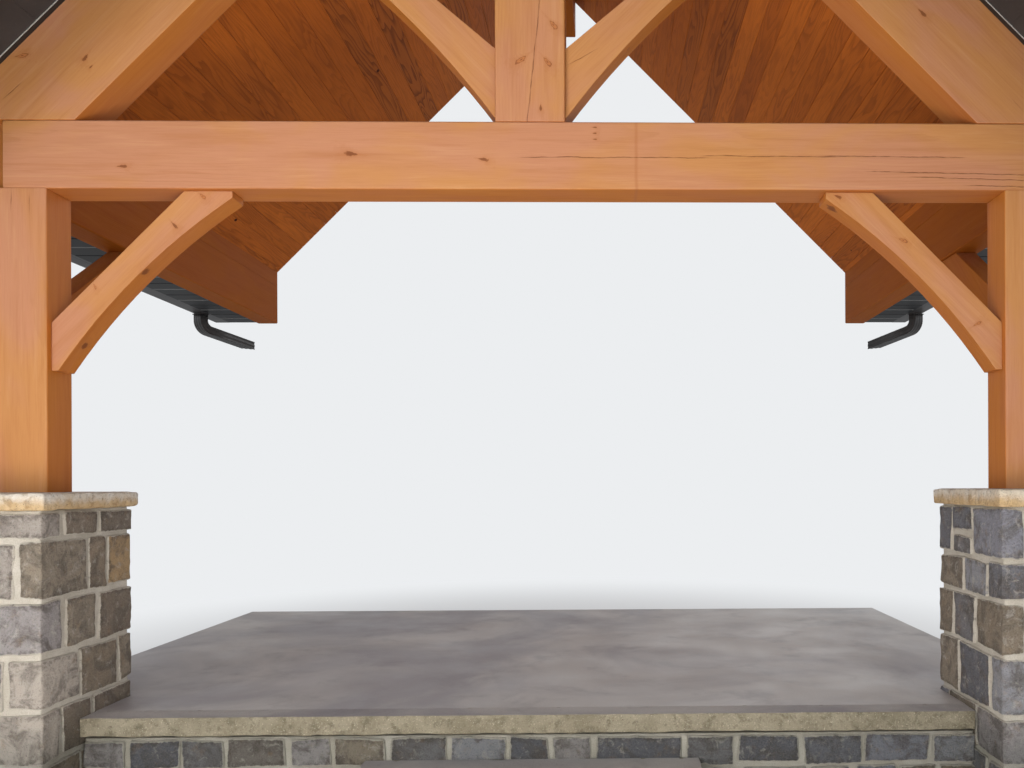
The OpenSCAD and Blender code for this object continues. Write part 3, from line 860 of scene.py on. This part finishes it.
# Drying checks: x and z of one end, then of the other
CHECKS = {
    "king_post": [(0.055, 3.72, -0.022, 2.98)],
    "king_strut_right": [(0.14, 3.34, 0.32, 3.434)],
    "tie_beam": [
        (-0.07, 2.921, 0.83, 2.921), (0.75, 2.93, 1.42, 2.926), (1.3, 2.931, 2.0, 2.925),
        (1.5, 2.862, 2.32, 2.845), (1.7, 2.838, 2.3, 2.82), (1.95, 2.8, 2.34, 2.79),
    ],
    "post_left": [(-2.306, 2.79, -2.31, 2.66), (-2.229, 2.77, -2.227, 2.65)],
    "rafter_left": [(-2.36, 3.154, -2.235, 3.27), (-1.954, 3.318, -1.99, 3.29)],
    "rafter_right": [(2.165, 3.37, 2.21, 3.32), (2.18, 3.2, 2.24, 3.14)],
}
# Water stains across a beam: x, and half the width
BANDS = {"tie_beam": [(0.478, 0.013)]}
# The timbers under the roof and the leaning side braces are darkened and deepened in colour as painted
# shade, and shine less
SHADE_TINTS = {BACK: srgb(226, 207, 178), LEANING: srgb(255, 248, 240)}
UNSHADED_TINT = srgb(255, 255, 255)
PITH_AWAY = Vector((0.14, 0.18, 0.1))
for seed, (node, turn) in enumerate(MEMBERS.items()):
    low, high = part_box(node)
    pith = (low + high) / 2 + PITH_AWAY
    shade, gloss = (SHADE_TINTS[turn], 0.02) if turn in SHADE_TINTS else (UNSHADED_TINT, 0.1)
    marks = [table.get(node, ()) for table in (KNOTS, CHECKS, BANDS)]
    finish = timber_finish("stained_" + node, seed + 1, pith, low.y, turn, shade, gloss, *marks)
    hand_in(node + "_timber", eased(node, EASE), [finish], node)


# Ceiling: stained tongue and groove boards nailed up under the roof, parallel to the ridge, with a
# V joint between every two. Each board has a grain and a tone of its own.
def prism(name, outline, start, end, turn=None):
    """An outline in the plane of X and Z, given length along Y from START to END."""
    bm = bmesh.new()
    rings = [[bm.verts.new((x, y, z)) for x, z in outline] for y in (start, end)]
    count = len(outline)
    for i in range(count):
        j = (i + 1) % count
        bm.faces.new((rings[0][i], rings[0][j], rings[1][j], rings[1][i]))
    bm.faces.new(rings[0][::-1])
    bm.faces.new(rings[1])
    if turn:
        bmesh.ops.transform(bm, matrix=turn, verts=bm.verts)
    bmesh.ops.recalc_face_normals(bm, faces=bm.faces)
    return mesh_of(name, bm)


def new_graph(name, **sockets):
    """An empty group of geometry nodes, and its named inputs as fields."""
    group = bpy.data.node_groups.new(name, "GeometryNodeTree")
    group.interface.new_socket("Geometry", in_out="OUTPUT", socket_type="NodeSocketGeometry")
    for label, kind in sockets.items():
        group.interface.new_socket(label, in_out="INPUT", socket_type="NodeSocket" + kind)
    outputs = add_node(group, "NodeGroupInput").outputs
    return group, {label: Field(outputs[label]) for label in sockets}


def close_graph(group, instances, seed, material):
    """Ends a group: one real mesh, with a random tone for each instance, and its material."""
    draws = field(group, "FunctionNodeRandomValue", {"Seed": seed}, output="Value", data_type="FLOAT")
    inputs = {0: instances, "Name": "tone", "Value": draws}
    toned = field(group, "GeometryNodeStoreNamedAttribute", inputs, data_type="FLOAT", domain="INSTANCE")
    real = field(group, "GeometryNodeRealizeInstances", {0: toned})
    painted = field(group, "GeometryNodeSetMaterial", {0: real, "Material": material})
    add_node(group, "NodeGroupOutput", {0: painted})


def grown(group, values):
    """The plain mesh that a group of geometry nodes makes from named values."""
    host = bpy.data.objects.new(group.name, bpy.data.meshes.new(group.name))
    bpy.context.collection.objects.link(host)
    maker = host.modifiers.new("maker", "NODES")
    maker.node_group = group
    for item in group.interface.items_tree:
        if item.in_out == "INPUT":
            maker[item.identifier] = values[item.name]
    depsgraph = bpy.context.evaluated_depsgraph_get()
    mesh = bpy.data.meshes.new_from_object(host.evaluated_get(depsgraph))
    bpy.data.objects.remove(host)
    return mesh


row_group, given = new_graph(
    "row_of_pieces", Piece="Object", Count="Int", Start="Vector", Stride="Vector", Seed="Int",
    Finish="Material"
)
inputs = {"Count": given["Count"], "Start Location": given["Start"], "Offset": given["Stride"]}
points = field(row_group, "GeometryNodeMeshLine", inputs)
shape = field(row_group, "GeometryNodeObjectInfo", {"Object": given["Piece"]}, output="Geometry")
copies = field(row_group, "GeometryNodeInstanceOnPoints", {"Points": points, "Instance": shape})
close_graph(row_group, copies, given["Seed"], given["Finish"])


def row_of(mesh, count, start, stride, seed, finish):
    """Copies of a mesh in a row, with a tone each."""
    values = {"Piece": bpy.data.objects.new(mesh.name, mesh), "Count": count, "Start": start}
    return grown(row_group, values | {"Stride": stride, "Seed": seed, "Finish": finish})


PITCH = math.radians(45)
COS, SIN = math.cos(PITCH), math.sin(PITCH)
PEAK_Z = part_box("ridge_beam")[1].z


def on_slope(mesh):
    """Lays a mesh on the right slope of the roof, its X running down from the peak of the ceiling."""
    mesh.transform(Matrix(((COS, 0, SIN, 0), (0, 1, 0, 0), (-SIN, 0, COS, PEAK_Z), (0, 0, 0, 1))))
    return mesh


def sided(mesh, side):
    """A mesh made for the right side, mirrored if it is for the left one."""
    if side == "left":
        mesh.transform(Matrix.Scale(-1, 4, (1, 0, 0)))
        mesh.flip_normals()
    return mesh


def board_finish():
    """Stained softwood boards, each with its own grain, some with bold late wood."""
    material, shader, place = new_material("ceiling_boards", 0.5, 0.03)
    tone = attribute(place, "tone")
    far = tone * 90.0
    local = shifted(place, joined(far, far, far))
    sway = grained(local, 5.5, 0.5, 1, detail=3, roughness=0.45)
    ring = compute("FRACT", sway * 24.0)
    late = ramp(ring, 0.35, 0.9) * ramp(ring, 1.0, 0.94)
    bold = ramp(compute("FRACT", tone * 7.3), 0.72, 0.9)
    colour = mixed(tone, srgb(178, 95, 31), srgb(197, 109, 38))
    drift = grained(local, 5.0, 0.8, 1, detail=4)
    colour = veiled(colour, (drift, 0.42, 0.72, 0.6, (162, 86, 34)))
    colour = mixed(bold * 0.35, colour, srgb(140, 80, 36))
    share = bold * 0.4 + ramp(drift, 0.35, 0.6) * 0.2 + 0.14
    colour = mixed(late * share, colour, srgb(106, 54, 22))
    fibre = grained(local, 260.0, 6.0, 1, detail=3, roughness=0.65)
    knots = spots_of(stretched(local, (1.0, 0.7, 1.0)), 3.8)
    fibres, specks = (fibre, 0.45, 0.7, 0.25, (100, 52, 20)), (knots, 0.055, 0.03, 1.0, (66, 30, 14))
    feed(shader, "Base Color", veiled(colour, fibres, specks))
    add_bump(shader, fibre * 0.4 - late * 0.5, 0.0008)
    return material


CEILING_T = 0.02
BOARDS = 27
BOARD_GAP, BOARD_V = 0.0006, 0.0022
low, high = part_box("ceiling_right")
board_w = high.x / COS / BOARDS
half = (board_w - BOARD_GAP) / 2
board_outline = [
    (-half, BOARD_V), (-half + BOARD_V, 0), (half - BOARD_V, 0), (half, BOARD_V),
    (half, CEILING_T), (-half, CEILING_T),
]
boards_stain = board_finish()
for side, seed in zip(SIDES, (4, 9)):
    board = prism("ceiling_board", board_outline, low.y, high.y)
    boards = row_of(board, BOARDS, (board_w / 2, 0, 0), (board_w, 0, 0), seed, boards_stain)
    mesh = sided(on_slope(boards), side)
    hand_in(f"ceiling_{side}_boards", mesh, [boards_stain], "ceiling_" + side)


# Roof deck: sheathing boards on the rafters and a sheet deck above them. It shows only at the back,
# where the porch is cut off at the wall that it stands against.
sheathing, shader, place = new_material("sheathing", 0.7)
colour = veiled(
    (186, 158, 116),
    (grained(place, 3.0, 0.4, 1, detail=3), 0.35, 0.65, 1.0, (164, 134, 94)),
    (grained(place, 220.0, 6.0, 1, detail=3), 0.45, 0.7, 0.4, (140, 108, 70)),
)
feed(shader, "Base Color", colour)
for side in SIDES:
    coat("roof_deck_" + side, sheathing)


# Shingles: asphalt tabs with a granule face, laid in lapping courses up each slope, each course half
# a tab on from the one below, and folded over the ridge one by one at the top.
granules, shader, place = new_material("granule_shingle", 0.92)
colour = mixed(attribute(place, "tone"), srgb(68, 66, 65), srgb(96, 93, 91))
speck = noise_of(place, 420, detail=2, roughness=0.8)
colour = veiled(
    colour,
    (speck, 0.5, 0.62, 0.55, (126, 122, 117)),
    (speck, 0.42, 0.36, 0.6, (38, 36, 36)),
    (noise_of(place, 1.6, detail=5, roughness=0.6), 0.45, 0.7, 0.35, (98, 94, 88)),
)
feed(shader, "Base Color", colour)
add_bump(shader, speck, 0.0015)

shingling, given = new_graph(
    "shingling", Tab="Object", Courses="Int", Tabs="Int", Gauge="Float", Eave="Float", Front="Float",
    Gap="Float", Seed="Int", Finish="Material"
)
columns = given["Tabs"] + 1.0
index = field(shingling, "GeometryNodeInputIndex")
row = compute("FLOOR", (index + 0.5) / columns)
start = index - row * columns - compute("MODULO", row, 2.0) * 0.5
width = given["Front"] * -1.0 / given["Tabs"]
first, last = compute("MAXIMUM", start, 0.0), compute("MINIMUM", start + 1.0, given["Tabs"])
middle = (first + last) * 0.5 * width + given["Front"]
breadth = (last - first) * width - given["Gap"]
down = given["Eave"] - row * given["Gauge"]
points = field(shingling, "GeometryNodeMeshLine", {"Count": given["Courses"] * columns})
points = field(shingling, "GeometryNodeSetPosition", {0: points, "Position": joined(down, middle)})
shape = field(shingling, "GeometryNodeObjectInfo", {"Object": given["Tab"]}, output="Geometry")
# A course that starts with a whole tab has no room for the last one
inputs = {"Points": points, "Instance": shape, "Selection": compute("GREATER_THAN", breadth, 0.02)}
inputs["Scale"] = joined(1.0, breadth, 1.0)
tabs = field(shingling, "GeometryNodeInstanceOnPoints", inputs)
close_graph(shingling, tabs, given["Seed"], given["Finish"])

DECK_TOP = 0.125
SHINGLE_T, SHINGLE_ARRIS = 0.016, 0.001
GAUGE = 0.145
face_z = DECK_TOP + SHINGLE_T
tab_outline = [
    (0, DECK_TOP), (0, face_z - SHINGLE_ARRIS), (-SHINGLE_ARRIS, face_z),
    (-GAUGE, DECK_TOP + SHINGLE_T / 2), (-GAUGE, DECK_TOP),
]
tab = bpy.data.objects.new("shingle_tab", prism("shingle_tab", tab_outline, -0.5, 0.5))
low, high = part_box("shingles_right")
for side, seed in zip(SIDES, (12, 21)):
    values = {
        "Tab": tab, "Courses": int(high.x / (GAUGE * COS)), "Tabs": 12, "Gauge": GAUGE,
        "Eave": high.x / COS, "Front": low.y, "Gap": 0.006, "Seed": seed, "Finish": granules,
    }
    mesh = sided(on_slope(grown(shingling, values)), side)
    hand_in(f"shingles_{side}_tabs", mesh, [granules], "shingles_" + side)

CAPS = 24
CAP_T, CAP_REACH, CAP_TILT = 0.008, 0.15, 0.004
low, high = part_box("ridge_cap")
cap_step = (high.y - low.y) / CAPS
foot_x, foot_z = CAP_REACH * COS, high.z - CAP_REACH * SIN
fold = [(foot_x, foot_z), (0, high.z), (-foot_x, foot_z)]
fold += [(x, z - CAP_T / COS) for x, z in reversed(fold)]
cap = prism("ridge_shingle", fold, 0, cap_step)
for vertex in cap.vertices:
    if vertex.co.y > 0:
        vertex.co.z -= CAP_TILT
caps = row_of(cap, CAPS, (0, low.y, 0), (0, cap_step, 0), 3, granules)
hand_in("ridge_cap_shingles", caps, [granules], "ridge_cap")


# Front edge boards, fascias and gutters: folded sheet metal with a dark bronze paint, nailed on
# through flanges that the next piece hides.
FOLD_EASE = 0.0012
paint, shader, place = new_material("dark_bronze_paint", 0.42, 0.3)
colour = veiled(
    (54, 53, 54),
    (noise_of(place, 3, detail=5, roughness=0.6), 0.35, 0.7, 1.0, (66, 64, 64)),
    (noise_of(place, 60, detail=4, roughness=0.7), 0.55, 0.75, 0.3, (86, 83, 79)),
)
feed(shader, "Base Color", colour)
add_bump(shader, noise_of(place, 5, detail=3), 0.002)
for name, side in itertools.product(("rake_board", "fascia", "gutter"), SIDES):
    node = f"{name}_{side}"
    hand_in(node + "_metal", eased(node, FOLD_EASE, 1), [paint], node)


# Level soffits: ribbed sheet metal panels of two ribs, pushed into each other and nailed up under the
# eaves. The locks between them are painted as thin pale lines, painted highlights.
SOFFIT_T = 0.014
GROOVE_W, GROOVE_DEPTH = 0.007, 0.009
PANS, PAN_GAP = 21, 0.001
low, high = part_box("eave_soffit_right")
pan_w = -low.y / PANS
half = (pan_w - PAN_GAP) / 2
pan_outline = [
    (-half, GROOVE_DEPTH), (-half + GROOVE_W, 0), (half - GROOVE_W, 0), (half, GROOVE_DEPTH),
    (half, SOFFIT_T), (-half, SOFFIT_T),
]
soffit_paint, shader, place = new_material("soffit_paint", 0.5, 0.15)
turns = compute("FRACT", parts(place)[1] / (2 * pan_w))
colour = mixed(noise_of(place, 4, detail=4, roughness=0.6), srgb(34, 35, 37), srgb(46, 47, 49))
# A thin pale line at every lock between panels is a painted highlight
feed(shader, "Base Color", veiled(colour, (abs(turns - 0.5), 0.03, 0.018, 0.8, (150, 152, 152))))
# Where the front overhang meets the level soffit, a panel is turned up to the slope
upstand_outline = [
    (low.x, low.z + SOFFIT_T), (low.x + SOFFIT_T, low.z + SOFFIT_T),
    (low.x + SOFFIT_T, high.z - SOFFIT_T), (low.x, high.z),
]
frame_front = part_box("tie_beam")[0].y
for side in SIDES:
    node = "eave_soffit_" + side
    pan = prism("soffit_pan", pan_outline, -high.x, -low.x, Matrix.Rotation(math.pi / 2, 4, "Z"))
    pans = row_of(pan, PANS, (0, low.y + pan_w / 2, low.z), (0, pan_w, 0), 5, soffit_paint)
    hand_in(node + "_panels", sided(pans, side), [soffit_paint], node)
    panel = prism("upstand", upstand_outline, low.y, frame_front)
    hand_in("eave_upstand_" + side, sided(panel, side), [paint], node)


# Sloping soffits: flat sheet metal panels under the front overhang, lapped at a rebate and held along
# the rafter by a channel with a lip. The channel is painted near black as painted shade, and the lip pale
# as a painted highlight.
# The channel is painted near black, painted shade in its recess behind the lip
channel_paint, shader, place = new_material("channel_paint", 0.5)
shader.inputs["Base Color"].default_value = srgb(34, 31, 30)
# The lip is painted pale as a painted highlight, mottled between two pale tones
lip_highlight_paint, shader, place = new_material("worn_lip", 0.4)
highlight_mottle = noise_of(place, 9, detail=4, roughness=0.6)
feed(shader, "Base Color", mixed(highlight_mottle, srgb(150, 150, 148), srgb(196, 196, 192)))

PANELS, PANEL_T = 13, 0.003
REBATE_W, REBATE_DEPTH = 0.002, 0.0022
CHANNEL_W, LIP_W = 0.028, 0.0025
low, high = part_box("rake_soffit_right")
panel_w = high.x / COS / PANELS
half = panel_w / 2
top = DECK_TOP - 0.024
under = top - PANEL_T
rebate = under + REBATE_DEPTH
panel_outline = [
    (-half, rebate), (-half + REBATE_W, rebate), (-half + REBATE_W, under), (half - REBATE_W, under),
    (half - REBATE_W, rebate), (half, rebate), (half, top), (-half, top),
]
channel_back = high.y - CHANNEL_W
rake_strips = (
    ("channel", channel_back, high.y, top - 0.0042, channel_paint),
    ("lip", channel_back - LIP_W, channel_back, top - 0.0065, lip_highlight_paint),
)
strip_start, strip_end, strip_top = 0.03, high.x / COS - 0.01, top - 0.0005
for side in SIDES:
    node = "rake_soffit_" + side
    panel = prism("overhang_panel", panel_outline, low.y, high.y)
    panels = row_of(panel, PANELS, (panel_w / 2, 0, 0), (panel_w, 0, 0), 5, paint)
    hand_in(node + "_panels", sided(on_slope(panels), side), [paint], node)
    for name, near, far, bottom, finish in rake_strips:
        strip = [(strip_start, bottom), (strip_end, bottom), (strip_end, strip_top)]
        strip.append((strip_start, strip_top))
        bar = sided(on_slope(prism("rake_" + name, strip, near, far)), side)
        hand_in(f"rake_{name}_{side}", bar, [finish], node)


# Gutter straps: flat metal strips screwed to the fascia, which cross the gutter's open top and hook
# down inside its lip.
STRAPS = 6
STRAP_W, STRAP_T, STRAP_HOOK = 0.022, 0.003, 0.012
low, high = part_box("gutter_right")
strap_top = high.z - 0.007
strap_back, strap_front = low.x + 0.0015, high.x - 0.004
strap_outline = [
    (strap_back, strap_top), (strap_front, strap_top), (strap_front, strap_top - STRAP_HOOK),
    (strap_front - STRAP_T, strap_top - STRAP_HOOK), (strap_front - STRAP_T, strap_top - STRAP_T),
    (strap_back, strap_top - STRAP_T),
]
strap_step = -low.y / STRAPS
for side in SIDES:
    strap = prism("gutter_strap", strap_outline, -STRAP_W / 2, STRAP_W / 2)
    straps = row_of(strap, STRAPS, (0, low.y + strap_step / 2, 0), (0, strap_step, 0), 1, paint)
    hand_in("gutter_straps_" + side, sided(straps, side), [paint], "gutter_" + side)


# Downspouts: ribbed sheet metal tube from a collar under the gutter's outlet, round one elbow and on
# at a slight fall towards the back, where it is cut off.
OUTLET = Vector((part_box("fascia_right")[1].x + 0.043, -0.35, low.z))
SPOUT_W, SPOUT_D, SPOUT_RIB = 0.09, 0.062, 0.0025
SPOUT_DROP, SPOUT_BEND = 0.05, 0.076
SPOUT_SWEEP, SPOUT_HEADING = math.radians(80), math.radians(122)
SPOUT_STEPS = 10
COLLAR = 0.006


def ribbed_outline():
    """A closed outline with three ribs on each wide side and two on each narrow one."""
    corners = [Vector((SPOUT_W / 2, SPOUT_D / 2)), Vector((-SPOUT_W / 2, SPOUT_D / 2))]
    corners += [-corner for corner in corners]
    outline = []
    for corner, following, ribs in zip(corners, corners[1:] + corners[:1], (3, 2, 3, 2)):
        inward = (following - corner).normalized().orthogonal()
        steps = ribs * 6
        for step in range(steps):
            depth = SPOUT_RIB * (0.5 - 0.5 * math.cos(2 * math.pi * ribs * step / steps))
            outline.append(corner.lerp(following, step / steps) + inward * depth)
    return outline


def tube_between(bm, rings):
    """Walls between rings of points, closed at both ends."""
    loops = [[bm.verts.new(point) for point in ring] for ring in rings]
    for ring, following in zip(loops, loops[1:]):
        for i in range(len(ring)):
            j = (i + 1) % len(ring)
            bm.faces.new((ring[i], ring[j], following[j], following[i])).smooth = True
    bm.faces.new(loops[0][::-1])
    bm.faces.new(loops[-1])


def spout_ring(angle, outline):
    """The outline across the tube where it has turned by an angle."""
    ahead = Vector((math.cos(SPOUT_HEADING), math.sin(SPOUT_HEADING), 0))
    up = Vector((0, 0, 1))
    across = up.cross(ahead)
    depth = ahead * math.cos(angle) + up * math.sin(angle)
    turn = ahead * (1 - math.cos(angle)) - up * math.sin(angle)
    centre = OUTLET - up * SPOUT_DROP + turn * SPOUT_BEND
    return [centre + across * u + depth * v for u, v in outline]


for side in SIDES:
    bm = bmesh.new()
    outline = ribbed_outline()
    elbow = [spout_ring(SPOUT_SWEEP * i / SPOUT_STEPS, outline) for i in range(SPOUT_STEPS + 1)]
    up = Vector((0, 0, SPOUT_DROP))
    ahead = Vector((math.cos(SPOUT_HEADING), math.sin(SPOUT_HEADING), 0)) * math.sin(SPOUT_SWEEP)
    ahead.z = -math.cos(SPOUT_SWEEP)
    end = [point - ahead * (point.y / ahead.y) for point in elbow[-1]]
    tube_between(bm, [[point + up for point in elbow[0]], *elbow, end])
    reach_u, reach_v = SPOUT_W / 2 + COLLAR, SPOUT_D / 2 + COLLAR
    flange = [(u * reach_u, v * reach_v) for u, v in ((1, 1), (-1, 1), (-1, -1), (1, -1))]
    collar = [point + up for point in spout_ring(0, flange)]
    tube_between(bm, [collar, [point - Vector((0, 0, COLLAR)) for point in collar]])
    bmesh.ops.recalc_face_normals(bm, faces=bm.faces)
    tube = sided(mesh_of("downspout", bm), side)
    hand_in("downspout_tube_" + side, tube, [paint], "downspout_" + side)
